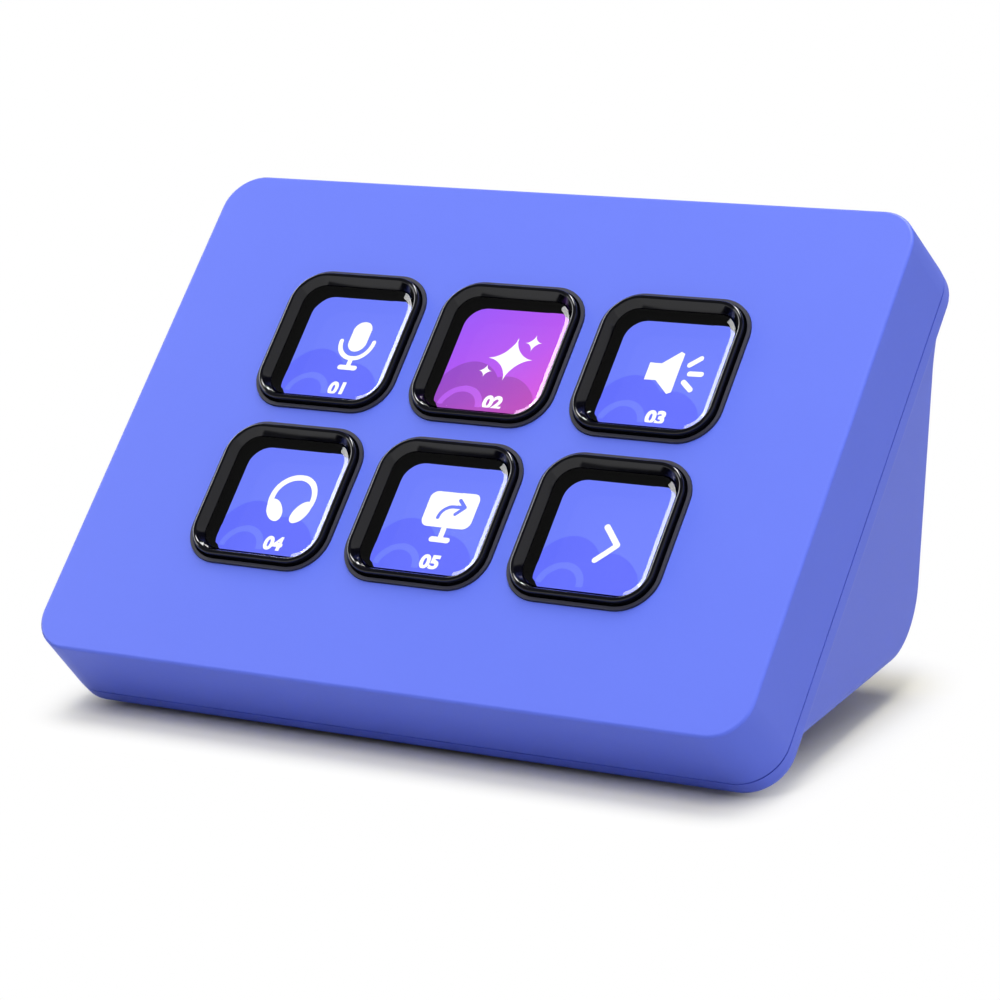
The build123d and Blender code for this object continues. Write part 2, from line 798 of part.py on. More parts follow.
def cable_gland():
    """Rubber bush in the back wall, grooved to hold itself, with a hole for a lead."""
    length = rear_wall + 2 * (gland_flange_thickness + gland_clearance)
    bush = Cylinder(gland_flange_radius, length)
    groove = Cylinder(gland_flange_radius + 1, rear_wall + 2 * gland_clearance)
    groove -= Cylinder(gland_neck_radius, length)
    bush = bush - groove - Cylinder(gland_bore_radius, length + 2)
    outer_edges = bush.edges().filter_by(GeomType.CIRCLE).group_by(Axis.Z)
    rounded = [e for e in outer_edges[0] + outer_edges[-1] if e.radius > gland_neck_radius]
    bush = fillet(rounded, gland_edge_round)
    middle_y = back_wall_y - rear_wall / 2
    return Pos(0, middle_y, gland_z) * Rot(90, 0, 0) * bush


def base_screws():
    """Screws up through the base and the chassis flange into the ballast."""
    length = ballast_high_z - base_height - pad_recess
    one = screw(base_screw_radius, length, base_screw_head_radius, base_screw_head_height)
    return [Pos(x, y, base_height + pad_recess) * one for x, y in base_screw_places]


def build():
    """Every piece by node name."""
    shell_screw = screw(
        shell_screw_radius,
        shell_screw_length,
        shell_screw_head_radius,
        shell_screw_head_height,
    )
    board_screw = screw(
        board_screw_radius,
        board_screw_length,
        board_screw_head_radius,
        board_screw_head_height,
    )
    stand_screw = screw(
        stand_screw_radius,
        stand_screw_length,
        stand_screw_head_radius,
        stand_screw_head_height,
    )
    pieces = {
        "front_shell": front_shell(),
        "rear_shell": rear_shell(),
        "key_frame": key_frame(),
        "switch_board": switch_board(),
        "display_panel": display_panel(),
        "display_backlight": display_backlight(),
        "display_flex": display_flex(),
        "chassis": chassis(),
        "standoffs": standoffs(),
        "main_board": main_board(),
        "board_chips": board_chips(),
        "cable_header": cable_header(),
        "flex_socket": flex_socket(),
        "ballast_plate": ballast_plate(),
        "foot_pad": foot_pad(),
        "cable_gland": cable_gland(),
        "shell_screws": screws_at(shell_screw, shell_boss_places, chassis_back_z),
        "board_screws": screws_at(board_screw, board_boss_places, board_back_z),
        "stand_screws": screws_at(stand_screw, stand_places, main_board_back_z),
        "base_screws": base_screws(),
    }
    rim = key_rim()
    lens = key_lens()
    domes = key_domes()
    for number, (x, y) in enumerate(key_places(), start=1):
        pieces[f"key_rim_{number}"] = FACE * Pos(x, y, 0) * rim
        pieces[f"key_lens_{number}"] = FACE * Pos(x, y, 0) * lens
        pieces[f"key_domes_{number}"] = FACE * Pos(x, y, 0) * domes
    return pieces


def main():
    """Write one STEP file per piece."""
    os.makedirs("parts", exist_ok=True)
    for name, piece in build().items():
        solid = Compound(children=piece) if isinstance(piece, list) else piece
        export_step(solid, f"parts/{name}.step")


main()
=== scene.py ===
import json
import math

import bmesh
import bpy
import numpy as np
from bpy.props import FloatProperty, FloatVectorProperty, PointerProperty
from bpy.types import Operator, Panel, PropertyGroup
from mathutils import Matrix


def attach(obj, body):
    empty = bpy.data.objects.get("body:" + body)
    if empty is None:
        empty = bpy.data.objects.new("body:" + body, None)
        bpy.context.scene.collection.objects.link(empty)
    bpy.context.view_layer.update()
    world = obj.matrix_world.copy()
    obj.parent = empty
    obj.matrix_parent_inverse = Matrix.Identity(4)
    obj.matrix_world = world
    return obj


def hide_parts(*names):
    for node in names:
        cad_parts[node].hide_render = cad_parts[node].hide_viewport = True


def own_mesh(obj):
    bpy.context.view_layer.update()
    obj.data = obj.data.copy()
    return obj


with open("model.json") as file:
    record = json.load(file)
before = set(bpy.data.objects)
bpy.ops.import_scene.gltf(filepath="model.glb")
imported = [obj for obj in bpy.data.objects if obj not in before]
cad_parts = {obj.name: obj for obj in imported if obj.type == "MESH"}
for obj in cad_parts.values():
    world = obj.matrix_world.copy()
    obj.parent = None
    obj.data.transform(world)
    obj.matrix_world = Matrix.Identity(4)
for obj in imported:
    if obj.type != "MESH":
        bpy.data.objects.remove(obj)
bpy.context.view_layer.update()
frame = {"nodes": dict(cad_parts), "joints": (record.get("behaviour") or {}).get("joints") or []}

bl_info = {
    "name": "Desk keypad finishes",
    "version": (1, 0, 0),
    "blender": (4, 5, 0),
    "location": "View3D > Sidebar > Keypad",
    "description": "Finishes, display pictures and stage for the six-key desk keypad",
    "category": "Object",
}

MM = 0.001
KEYS = range(1, 7)          # left to right, then top to bottom
JOINTS = {joint["name"]: joint for joint in frame["joints"]}


# ---- Face frame ---------------------------------------------------------------------
# X right, Y up the sloping face and Z straight out of it, in millimetres from the middle
# of the face. The desk frame is that of the CAD nodes, in metres. Keys go down along
# minus Z, so the press of any key gives the tilt.
PRESS = JOINTS["key_1_press"]["axis"]
FACE_TILT = math.atan2(PRESS[1], -PRESS[2])
ACROSS = (1, 0, 0)
UP = (0, math.cos(FACE_TILT), math.sin(FACE_TILT))
OUT = (0, -math.sin(FACE_TILT), math.cos(FACE_TILT))
AXES = np.array([ACROSS, UP, OUT])


def turned_box(node):
    """Lowest and highest corner of a CAD node along the axes of the face: each vertex
    multiplied by the three axes, in millimetres from the origin of the desk frame."""
    vertices = frame["nodes"][node].data.vertices
    place = np.zeros(3 * len(vertices), np.float32)
    vertices.foreach_get("co", place)
    turned = place.reshape(-1, 3).astype(float) @ AXES.T / MM
    return turned.min(0), turned.max(0)


def face_middle():
    """Middle of the front of the front shell, along the axes of the face."""
    low, high = turned_box("front_shell")
    return np.array([(low[0] + high[0]) / 2, (low[1] + high[1]) / 2, high[2]])


FACE_MIDDLE = face_middle()


def face_box(node):
    """Lowest and highest corner of a CAD node in the face frame."""
    low, high = turned_box(node)
    return low - FACE_MIDDLE, high - FACE_MIDDLE


def on_desk(points):
    """Face-frame points to desk-frame points: moved by the middle of the face, then each
    coordinate times its axis, summed up, in metres."""
    return (points + FACE_MIDDLE) @ AXES * MM


def key_middle(number):
    """Middle of a key in the plane of the face."""
    low, high = face_box(f"key_lens_{number}")
    return ((low + high) / 2)[:2]


# ---- Colour and node helpers --------------------------------------------------------
MIX_A, MIX_B, MIX_RESULT = 6, 7, 2      # colour sockets of a Mix node


def linear(code):
    """sRGB hex code to a linear RGB triple: each channel through the sRGB curve."""
    channels = [int(code[i:i + 2], 16) / 255 for i in (1, 3, 5)]
    return [c / 12.92 if c <= 0.04045 else ((c + 0.055) / 1.055) ** 2.4 for c in channels]


def rgba(colour):
    """Linear RGBA of an sRGB hex code, or of a colour setting, which is linear already."""
    return (*(linear(colour) if isinstance(colour, str) else colour), 1.0)


def add(tree, kind, settings=None, values=None, links=None):
    """Adds a node, sets its properties and socket values, and links its inputs."""
    node = tree.nodes.new(kind)
    for name, value in (settings or {}).items():
        setattr(node, name, value)
    for name, value in (values or {}).items():
        node.inputs[name].default_value = value
    for name, source in (links or {}).items():
        tree.links.new(source, node.inputs[name])
    return node


def new_material(name):
    """A node material with only its output node."""
    material = bpy.data.materials.new(name)
    material.use_nodes = True
    tree = material.node_tree
    tree.nodes.clear()
    output = add(tree, "ShaderNodeOutputMaterial")
    return material, tree, output


def close(tree, shader, output):
    """Links a shader to the surface output."""
    tree.links.new(shader.outputs[0], output.inputs["Surface"])


# ---- Finishes -----------------------------------------------------------------------
PLASTIC_IOR = 1.54
ACRYLIC_IOR = 1.49
# Widths of the patterns, in millimetres.
SHADE_CLOUD = 16.67         # slow change of shade over a moulding
FLOW_LINES = 2.5            # marks of the melt in a polished moulding
POLISH_MARKS = 3.33         # dull spots left by polishing clear acrylic
STREAK_SHARE = 0.05         # a rolled streak is twenty times as long as wide
GRAIN_DEPTH = 0.02          # of a spark-eroded mould, in millimetres
DARK_PIXELS = "#191919"     # what the display sends back by itself


def moulded_plastic(name, colour, shade, roughness, grain_mm, bump, specular=0.32):
    """Injection-moulded plastic with a fine spark-eroded grain.

    The grain breaks highlights up, so the piece looks evenly matt, and a slow cloud of a
    slightly darker shade keeps a large face from looking painted."""
    spread = 0.05
    material, tree, output = new_material(name)
    place = add(tree, "ShaderNodeTexCoord").outputs["Object"]
    cloud = add(
        tree, "ShaderNodeTexNoise",
        values={"Scale": 1 / (SHADE_CLOUD * MM), "Detail": 2.0},
        links={"Vector": place},
    )
    mix = add(
        tree, "ShaderNodeMix", {"data_type": "RGBA"},
        {MIX_A: rgba(colour), MIX_B: rgba(shade)}, {0: cloud.outputs["Fac"]},
    )
    grain = add(
        tree, "ShaderNodeTexNoise",
        values={"Scale": 1 / (grain_mm * MM), "Detail": 3.0, "Roughness": 0.6},
        links={"Vector": place},
    )
    rough = add(
        tree, "ShaderNodeMapRange",
        values={"To Min": roughness - spread, "To Max": roughness + spread},
        links={"Value": grain.outputs["Fac"]},
    )
    height = add(
        tree, "ShaderNodeBump",
        values={"Strength": bump, "Distance": GRAIN_DEPTH * MM},
        links={"Height": grain.outputs["Fac"]},
    )
    shader = add(
        tree, "ShaderNodeBsdfPrincipled",
        values={"IOR": PLASTIC_IOR, "Specular IOR Level": specular},
        links={
            "Base Color": mix.outputs[MIX_RESULT],
            "Roughness": rough.outputs["Result"],
            "Normal": height.outputs["Normal"],
        },
    )
    close(tree, shader, output)
    return material


def polished_plastic(name, colour, shade, roughness, specular=0.5):
    """Moulding from a polished mould.

    It reflects its surroundings almost sharply, and faint flow lines keep the
    reflections from looking like those of glass."""
    spread = 0.3
    material, tree, output = new_material(name)
    place = add(tree, "ShaderNodeTexCoord").outputs["Object"]
    flow = add(
        tree, "ShaderNodeTexNoise",
        values={"Scale": 1 / (FLOW_LINES * MM), "Detail": 2.0},
        links={"Vector": place},
    )
    mix = add(
        tree, "ShaderNodeMix", {"data_type": "RGBA"},
        {MIX_A: rgba(colour), MIX_B: rgba(shade)}, {0: flow.outputs["Fac"]},
    )
    rough = add(
        tree, "ShaderNodeMapRange",
        values={"To Min": roughness * (1 - spread), "To Max": roughness * (1 + spread)},
        links={"Value": flow.outputs["Fac"]},
    )
    shader = add(
        tree, "ShaderNodeBsdfPrincipled",
        values={"IOR": PLASTIC_IOR, "Specular IOR Level": specular},
        links={"Base Color": mix.outputs[MIX_RESULT], "Roughness": rough.outputs["Result"]},
    )
    close(tree, shader, output)
    return material


def clear_acrylic(name, tint):
    """Moulded and polished acrylic: water clear, so the display shows through it, with
    edges that catch white light and a roughness that hardly dulls them."""
    dullest = 0.02
    material, tree, output = new_material(name)
    place = add(tree, "ShaderNodeTexCoord").outputs["Object"]
    marks = add(
        tree, "ShaderNodeTexNoise",
        values={"Scale": 1 / (POLISH_MARKS * MM), "Detail": 1.0},
        links={"Vector": place},
    )
    rough = add(
        tree, "ShaderNodeMapRange",
        values={"To Min": 0.0, "To Max": dullest},
        links={"Value": marks.outputs["Fac"]},
    )
    shader = add(
        tree, "ShaderNodeBsdfPrincipled",
        values={"IOR": ACRYLIC_IOR, "Transmission Weight": 1.0, "Base Color": rgba(tint)},
        links={"Roughness": rough.outputs["Result"]},
    )
    close(tree, shader, output)
    return material


def lit_picture(name, corner, middle, far, strength):
    """Lit pixels of a display behind glass: colours that glow by themselves, in a soft
    gradient from the top left of the key to its bottom right."""
    reach = 0.9
    material, tree, output = new_material(name)
    place = add(tree, "ShaderNodeUVMap", {"uv_map": "picture"}).outputs["UV"]
    split = add(tree, "ShaderNodeSeparateXYZ", links={"Vector": place})
    slant = add(
        tree, "ShaderNodeMath", {"operation": "SUBTRACT"},
        links={0: split.outputs["X"], 1: split.outputs["Y"]},
    )
    share = add(
        tree, "ShaderNodeMapRange",
        values={"From Min": -reach, "From Max": reach},
        links={"Value": slant.outputs[0]},
    )
    ramp = add(tree, "ShaderNodeValToRGB", links={"Fac": share.outputs["Result"]})
    ramp.color_ramp.elements[0].color = rgba(corner)
    ramp.color_ramp.elements[1].color = rgba(far)
    ramp.color_ramp.elements.new(0.5).color = rgba(middle)
    shader = add(
        tree, "ShaderNodeBsdfPrincipled",
        values={"Base Color": rgba(DARK_PIXELS), "Roughness": 0.3, "Emission Strength": strength},
        links={"Emission Color": ramp.outputs["Color"]},
    )
    close(tree, shader, output)
    return material


def flat_metal(name, colour, shade, roughness, streak_mm):
    """Rolled or turned metal: streaks along one direction vary its shade and polish, so
    its highlights stretch across them."""
    spread = 0.08
    material, tree, output = new_material(name)
    place = add(tree, "ShaderNodeTexCoord").outputs["Object"]
    across = 1 / (streak_mm * MM)
    stretch = add(
        tree, "ShaderNodeMapping",
        values={"Scale": (across, STREAK_SHARE * across, across)},
        links={"Vector": place},
    )
    streaks = add(
        tree, "ShaderNodeTexNoise",
        values={"Scale": 1.0, "Detail": 3.0},
        links={"Vector": stretch.outputs[0]},
    )
    mix = add(
        tree, "ShaderNodeMix", {"data_type": "RGBA"},
        {MIX_A: rgba(colour), MIX_B: rgba(shade)}, {0: streaks.outputs["Fac"]},
    )
    rough = add(
        tree, "ShaderNodeMapRange",
        values={"To Min": roughness - spread, "To Max": roughness + spread},
        links={"Value": streaks.outputs["Fac"]},
    )
    shader = add(
        tree, "ShaderNodeBsdfPrincipled",
        values={"Metallic": 1.0},
        links={"Base Color": mix.outputs[MIX_RESULT], "Roughness": rough.outputs["Result"]},
    )
    close(tree, shader, output)
    return material


# ---- Meshes -------------------------------------------------------------------------
CORNER_STEPS = 14           # sides in each corner of a rounded square


def make_object(name, points, faces, materials, body, smooth, indices=None, uv=None):
    """Mesh object from face-frame points, riding on a body. Edges that bend by more than
    the smooth angle, in degrees, stay sharp."""
    mesh = bpy.data.meshes.new(name)
    mesh.from_pydata(on_desk(points), [], faces)
    for material in materials:
        mesh.materials.append(material)
    if indices is not None:
        mesh.polygons.foreach_set("material_index", np.asarray(indices, np.int32))
    mesh.shade_smooth()
    mesh.set_sharp_from_angle(angle=math.radians(smooth))
    if uv is not None:
        corner = np.zeros(len(mesh.loops), np.int32)
        mesh.loops.foreach_get("vertex_index", corner)
        layer = mesh.uv_layers.new(name="picture")
        layer.data.foreach_set("uv", uv[corner].astype(np.float32).ravel())
    mesh.update()
    obj = bpy.data.objects.new(name, mesh)
    bpy.context.scene.collection.objects.link(obj)
    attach(obj, body)
    return obj


def directions(turn):
    """Unit vectors at angles in degrees: cosine and sine of each."""
    turn = np.radians(turn)
    return np.stack([np.cos(turn), np.sin(turn)], 1)


def corner_turns(steps):
    """Angles round four corners and, for each angle, the signs of its corner."""
    turn = np.concatenate([np.linspace(0, 90, steps + 1) + 90 * k for k in range(4)])
    signs = np.repeat([[1, 1], [-1, 1], [-1, -1], [1, -1]], steps + 1, axis=0)
    return turn, signs


def rounded_path(half, radius):
    """Closed path round a square: for each point the middle of its corner arc and its
    outward direction. A point at offset o is middle + (radius + o) * direction."""
    turn, signs = corner_turns(CORNER_STEPS)
    return signs * (half - radius), directions(turn)


def arc(middle, radius, start, end, steps):
    """Points of an arc in a profile: middle + radius * direction, in even steps between
    two angles in degrees."""
    return np.array(middle) + radius * directions(np.linspace(start, end, steps + 1))


def ring_faces(rows, columns, closed):
    """Quads of a grid that wraps round its columns, and round its rows when closed. They
    face outwards where the columns run counter-clockwise, seen from in front, and the
    rows run up the outer side of the piece."""
    i, j = np.meshgrid(np.arange(rows if closed else rows - 1), np.arange(columns), indexing="ij")
    next_i = (i + 1) % rows
    next_j = (j + 1) % columns
    corners = [i * columns + j, i * columns + next_j, next_i * columns + next_j, next_i * columns + j]
    return np.stack([corner.ravel() for corner in corners], 1)


# ---- Key rims -----------------------------------------------------------------------
FLANGE_REACH = 1.2          # flange beyond the outer side of the rim
FLANGE_FRONT = -2.15
FLANGE_BACK = -2.75
RIM_LOW, RIM_HIGH = face_box("key_rim_1")
RIM_HALF = (RIM_HIGH[0] - RIM_LOW[0]) / 2 - FLANGE_REACH
RIM_RADIUS = 3.6            # outer corners
RIM_CREST = RIM_HIGH[2]
SKIRT_BACK = RIM_LOW[2]
BEVEL_REACH = 1.1           # outer side of the rim to the foot of its bevel
BEVEL_FOOT = -0.1           # level of that foot
CREST_STEPS = 22
RIM_SMOOTH = 20


def rim_profile(crest_round):
    """Section of a rim as (offset from its outer side, level): up the outer side, over a
    round crest, down a straight bevel that is tangent to the round, then down the well
    wall and out along the skirt and the flange."""
    inwards = BEVEL_REACH - crest_round
    up = RIM_CREST - crest_round - BEVEL_FOOT
    slope = math.atan2(up, inwards) + math.asin(crest_round / math.hypot(inwards, up))
    middle = (-crest_round, RIM_CREST - crest_round)
    crest = arc(middle, crest_round, 0, 90 + math.degrees(slope), CREST_STEPS)
    skirt = [
        (-BEVEL_REACH, BEVEL_FOOT), (-BEVEL_REACH, SKIRT_BACK), (0, SKIRT_BACK), (0, FLANGE_BACK),
        (FLANGE_REACH, FLANGE_BACK), (FLANGE_REACH, FLANGE_FRONT), (0, FLANGE_FRONT),
    ]
    return np.concatenate([crest, skirt])


def rim_surface(middle, crest_round):
    """Rim: each point of its section carried round a rounded square, its offset along the
    outward direction of the path and its level along Z."""
    middles, ways = rounded_path(RIM_HALF, RIM_RADIUS)
    offset, level = rim_profile(crest_round).T
    flat = middles + (RIM_RADIUS + offset)[:, None, None] * ways + middle
    height = np.broadcast_to(level[:, None], flat.shape[:2])
    points = np.dstack([flat, height]).reshape(-1, 3)
    return points, ring_faces(len(level), len(middles), True).tolist()


# ---- Key windows --------------------------------------------------------------------
WINDOW_LOW, WINDOW_HIGH = face_box("key_lens_1")
WINDOW_HALF = (WINDOW_HIGH[0] - WINDOW_LOW[0]) / 2
WINDOW_TOP = WINDOW_HIGH[2]
WINDOW_RADIUS = 2.45        # corners
DISH_SAG = 0.46             # middle of the dish below the top of the block
LIP_FOOT = 0.1              # width of the curve where the raised edge leaves the dish
LIP_RINGS = 14
DISH_RINGS = 14
POLE_SHARE = 0.02           # size of the last ring round a pole
WINDOW_SMOOTH = 30
CLEAR, BLACKENED = 0, 1


def window_surface(middle, lip_width, lip_slope, dish_radius):
    """Clear block of a key. Rings of a rounded square step inwards over its raised edge,
    then shrink towards a pole. The level is that of a shallow sphere, squared distance
    over twice its radius, plus a lip that climbs to the edge at an even slope and leaves
    the sphere in a parabola. Returns the points, the faces and the finish of each face."""
    middles, ways = rounded_path(WINDOW_HALF, WINDOW_RADIUS)
    columns = len(middles)
    inset = np.linspace(0, lip_width, LIP_RINGS)
    edge = middles + (WINDOW_RADIUS - inset)[:, None, None] * ways
    share = np.linspace(1, POLE_SHARE, DISH_RINGS)[1:]
    flat = np.concatenate([edge, share[:, None, None] * edge[-1:]])
    dish = (flat ** 2).sum(2) / (2 * dish_radius) - DISH_SAG
    climb = np.append(lip_width - inset, np.zeros(len(share)))
    curve = climb ** 2 / (2 * LIP_FOOT)
    lip = math.tan(lip_slope) * np.where(climb < LIP_FOOT, curve, climb - LIP_FOOT / 2)
    top = np.dstack([flat, WINDOW_TOP + dish + lip[:, None]])
    foot = np.dstack([flat[[-1, 0]], np.full((2, columns), SKIRT_BACK)])
    grid = np.concatenate([foot, top])
    poles = [[0, 0, SKIRT_BACK], [0, 0, WINDOW_TOP - DISH_SAG]]
    points = np.concatenate([grid.reshape(-1, 3), poles])

    wheel = np.arange(columns)
    after = (wheel + 1) % columns
    last = (len(grid) - 1) * columns
    low_pole = np.full(columns, len(points) - 2)
    bands = ring_faces(len(grid), columns, False)
    low = np.stack([after, wheel, low_pole], 1)
    high = np.stack([last + wheel, last + after, low_pole + 1], 1)
    faces = [*bands.tolist(), *low.tolist(), *high.tolist()]
    finish = np.full(len(faces), CLEAR)
    finish[columns:2 * columns] = BLACKENED      # the band from the foot up to the edge
    points[:, :2] += middle
    return points, faces, finish


# ---- Display pictures ---------------------------------------------------------------
CARD_HALF = 9.3             # a picture reaches past the well of its key on every side
CARD_ROUND = 0.5
CARD_LIFT = 0.01            # pictures off the display glass
LAYER = 0.004               # one drawn layer above the next
CARD_LEVEL = face_box("display_panel")[1][2] + CARD_LIFT
CARD_LAYER, HILL_LAYER, BAND_LAYER, ICON_LAYER, CUT_LAYER = range(5)
WHITE, TONE, PALE, GROUND = range(4)        # inks
ROUND_TURNS = np.arange(0, 360, 6)
BOW_STEPS = 48
PLATE_STEPS = 8
LETTER_STEPS = 4
LETTER_WEIGHT = 0.05        # letters made bolder by this share of their size


class Drawing:
    """Flat shapes gathered into one sheet, each in the ink and layer that the pen has and
    placed from the point where it is."""

    def __init__(self):
        self.points, self.faces, self.inks, self.count = [], [], [], 0
        self.at = np.zeros(2)

    def use(self, ink, layer):
        """Sets the ink and the layer of the next shapes."""
        self.ink, self.level = ink, CARD_LEVEL + LAYER * layer

    def add_shape(self, flat, faces):
        """Takes the points and faces of one shape: lifts its points to their layer,
        numbers its faces on from the last shape and inks them."""
        lift = np.full((len(flat), 1), self.level)
        self.points.append(np.concatenate([flat + self.at, lift], 1))
        self.faces += (faces + self.count).tolist()
        self.inks += [self.ink] * len(faces)
        self.count += len(flat)

    def fan(self, outline, middle):
        """Filled shape: triangles from a middle point to each side of its outline."""
        count = len(outline)
        side = np.arange(count)
        faces = np.stack([side, (side + 1) % count, np.full(count, count)], 1)
        self.add_shape(np.concatenate([outline, [middle]]), faces)

    def strip(self, left, right):
        """Band of quads between two lines of equal point count."""
        count = len(left)
        side = np.arange(count - 1)
        faces = np.stack([side, side + count, side + count + 1, side + 1], 1)
        self.add_shape(np.concatenate([left, right]), faces)

    def disc(self, middle, radii, turn=0):
        """Ellipse, its two radii times cosine and sine, then turned by an angle in
        degrees. It ends at the edge of the card."""
        x, y = (directions(ROUND_TURNS) * radii).T
        c, s = directions([turn])[0]
        outline = np.stack([x * c - y * s, x * s + y * c], 1) + middle
        self.fan(np.clip(outline, -CARD_HALF, CARD_HALF), middle)

    def dot(self, middle, width):
        """Round end of a stroke."""
        self.disc(middle, (width / 2, width / 2))

    def line(self, points, width):
        """Stroke of even width along a line, with round ends and round joints. Each part
        is widened along its own normal."""
        points = np.array(points, float)
        along = np.diff(points, axis=0)
        along /= np.linalg.norm(along, axis=1)[:, None]
        across = np.stack([-along[:, 1], along[:, 0]], 1) * width / 2
        for start, end, side in zip(points[:-1], points[1:], across):
            ends = np.array([start, end])
            self.strip(ends + side, ends - side)
        for point in points:
            self.dot(point, width)

    def bow(self, middle, radius, start, end, width):
        """Stroke along an arc between two angles, with round ends: the strip between the
        arcs half a width outside and inside."""
        ways = directions(np.linspace(start, end, BOW_STEPS + 1))
        outer = middle + (radius + width / 2) * ways
        inner = middle + (radius - width / 2) * ways
        self.strip(outer, inner)
        for way in (ways[0], ways[-1]):
            self.dot(middle + radius * way, width)

    def plate(self, middle, halves, radius):
        """Rectangle with rounded corners: the middle of each corner plus its arc."""
        turn, signs = corner_turns(PLATE_STEPS)
        outline = signs * (np.array(halves) - radius) + radius * directions(turn)
        self.fan(outline + middle, middle)

    def text(self, words, size, middle):
        """Plain numbers from Blender's own font, as flat triangles."""
        curve = bpy.data.curves.new("number", "FONT")
        curve.body = words
        curve.size = size
        curve.align_x = "CENTER"
        curve.resolution_u = LETTER_STEPS
        curve.offset = LETTER_WEIGHT * size
        holder = bpy.data.objects.new("number", curve)
        mesh = bpy.data.meshes.new_from_object(holder)
        place = np.zeros(3 * len(mesh.vertices))
        mesh.vertices.foreach_get("co", place)
        mesh.calc_loop_triangles()
        faces = np.zeros(3 * len(mesh.loop_triangles), np.int32)
        mesh.loop_triangles.foreach_get("vertices", faces)
        self.add_shape(place.reshape(-1, 3)[:, :2] + middle, faces.reshape(-1, 3))
        bpy.data.objects.remove(holder)
        bpy.data.curves.remove(curve)
        bpy.data.meshes.remove(mesh)


# The icons are drawn in millimetres from the middle of the icon.
STROKE = 0.6


def draw_microphone(pen):
    """Capsule, cradle, stem and foot."""
    capsule_ends, capsule_width = [(0, 2.0), (0, 0.5)], 2.4
    cradle_middle, cradle_radius, cradle_width = (0, 0.55), 2.15, 0.55
    stem_ends = [(0, -1.6), (0, -2.5)]
    foot_ends, foot_width = [(-0.95, -2.85), (0.95, -2.85)], 0.62
    pen.line(capsule_ends, capsule_width)
    pen.bow(cradle_middle, cradle_radius, 180, 360, cradle_width)
    pen.line(stem_ends, STROKE)
    pen.line(foot_ends, foot_width)


def draw_sparkle(pen):
    """One large and two small four-pointed stars. A star is a superellipse whose power is
    below one: its radius is (|cos| ^ power + |sin| ^ power) ^ (-1 / power)."""
    power = 0.62
    stars = [((0, 0), 2.75), ((2.1, 2.15), 1.05), ((-2.5, -1.7), 0.8)]
    ways = directions(np.arange(0, 360, 3))
    reach = (np.abs(ways) ** power).sum(1) ** (-1 / power)
    for middle, size in stars:
        pen.fan(middle + size * reach[:, None] * ways, middle)


def draw_loudspeaker(pen):
    """Speaker box and cone, with three short sound rays."""
    box_back, box_front, box_half = -3.1, -1.7, 1.05
    cone_front, cone_half, cone_bevel = 0.6, 2.65, (0.5, 0.25)
    ray_middle, ray_start, ray_end, ray_turns = (0.3, 0), 1.7, 3.1, (-38, 0, 38)
    upper = np.array([
        (cone_front, cone_half - cone_bevel[1]), (cone_front - cone_bevel[0], cone_half),
        (box_front, box_half), (box_back, box_half),
    ])
    lower = upper[::-1] * (1, -1)
    pen.fan(np.concatenate([lower, upper]), (-0.6, 0))
    for way in directions(ray_turns):
        ray = np.array([[ray_start], [ray_end]]) * way
        pen.line(ray_middle + ray, STROKE)


def draw_headphones(pen):
    """Band over the head and two ear cups."""
    band_radius, band_width = 2.7, 0.68
    cup_x, cup_y, cup_lean, cup_radii = 1.72, -1.55, 34, (0.92, 1.55)
    pen.bow((0, 0), band_radius, -15, 195, band_width)
    pen.disc((-cup_x, cup_y), cup_radii, cup_lean)
    pen.disc((cup_x, cup_y), cup_radii, -cup_lean)
    pen.bow((0, 0), band_radius, 180, 215, band_width)
    pen.bow((0, 0), band_radius, -35, 0, band_width)


def draw_screen(pen):
    """Monitor on its stand, with a bent arrow cut out of it."""
    screen_middle, screen_halves, screen_corner = (0, 0.75), (3.1, 2.15), 0.95
    stem_ends, foot_ends = [(0, -1.6), (0, -2.7)], [(-0.95, -2.9), (0.95, -2.9)]
    stand_width, arrow_width = 0.66, 0.42
    bend_middle, bend_radius = (0.15, -0.25), 1.4
    shaft_ends, head = [(0.15, 1.15), (1.5, 1.15)], [(0.7, 2.0), (1.6, 1.15), (0.7, 0.3)]
    pen.plate(screen_middle, screen_halves, screen_corner)
    pen.line(stem_ends, stand_width)
    pen.line(foot_ends, stand_width)
    pen.use(GROUND, CUT_LAYER)
    pen.bow(bend_middle, bend_radius, 90, 180, arrow_width)
    pen.line(shaft_ends, arrow_width)
    pen.line(head, arrow_width)


def draw_chevron(pen):
    """Arrow head that points right, lower than the other icons because its key has no
    number."""
    head, width = [(-0.95, 0.8), (0.95, -1.2), (-0.95, -3.2)], 0.66
    pen.line(head, width)


DRAWINGS = [
    draw_microphone, draw_sparkle, draw_loudspeaker,
    draw_headphones, draw_screen, draw_chevron,
]


def draw_ground(pen):
    """Card as large as the picture, with soft darker hills in its lower left and one
    paler band."""
    near_hill, near_radii = (-4.4, -5.2), (4.6, 6.2)
    far_hill, far_radii = (0.2, -6.2), (4.8, 5.6)
    band_middle, band_radius, band_width = (-4.4, -5.0), 2.4, 0.8
    pen.use(GROUND, CARD_LAYER)
    pen.plate((0, 0), (CARD_HALF, CARD_HALF), CARD_ROUND)
    pen.use(TONE, HILL_LAYER)
    pen.disc(near_hill, near_radii)
    pen.disc(far_hill, far_radii)
    pen.use(PALE, BAND_LAYER)
    pen.bow(band_middle, band_radius, 0, 180, band_width)


# ---- Rubber domes -------------------------------------------------------------------
DOME_MERGE = 0.001          # corners of the copied triangles that are one vertex


def dome_mesh(number):
    """Copy of a key's CAD domes, with the corners of its loose triangles joined."""
    sheet = bmesh.new()
    sheet.from_mesh(frame["nodes"][f"key_domes_{number}"].data)
    bmesh.ops.remove_doubles(sheet, verts=sheet.verts, dist=DOME_MERGE * MM)
    mesh = bpy.data.meshes.new(f"domes_{number}")
    sheet.to_mesh(mesh)
    sheet.free()
    return mesh


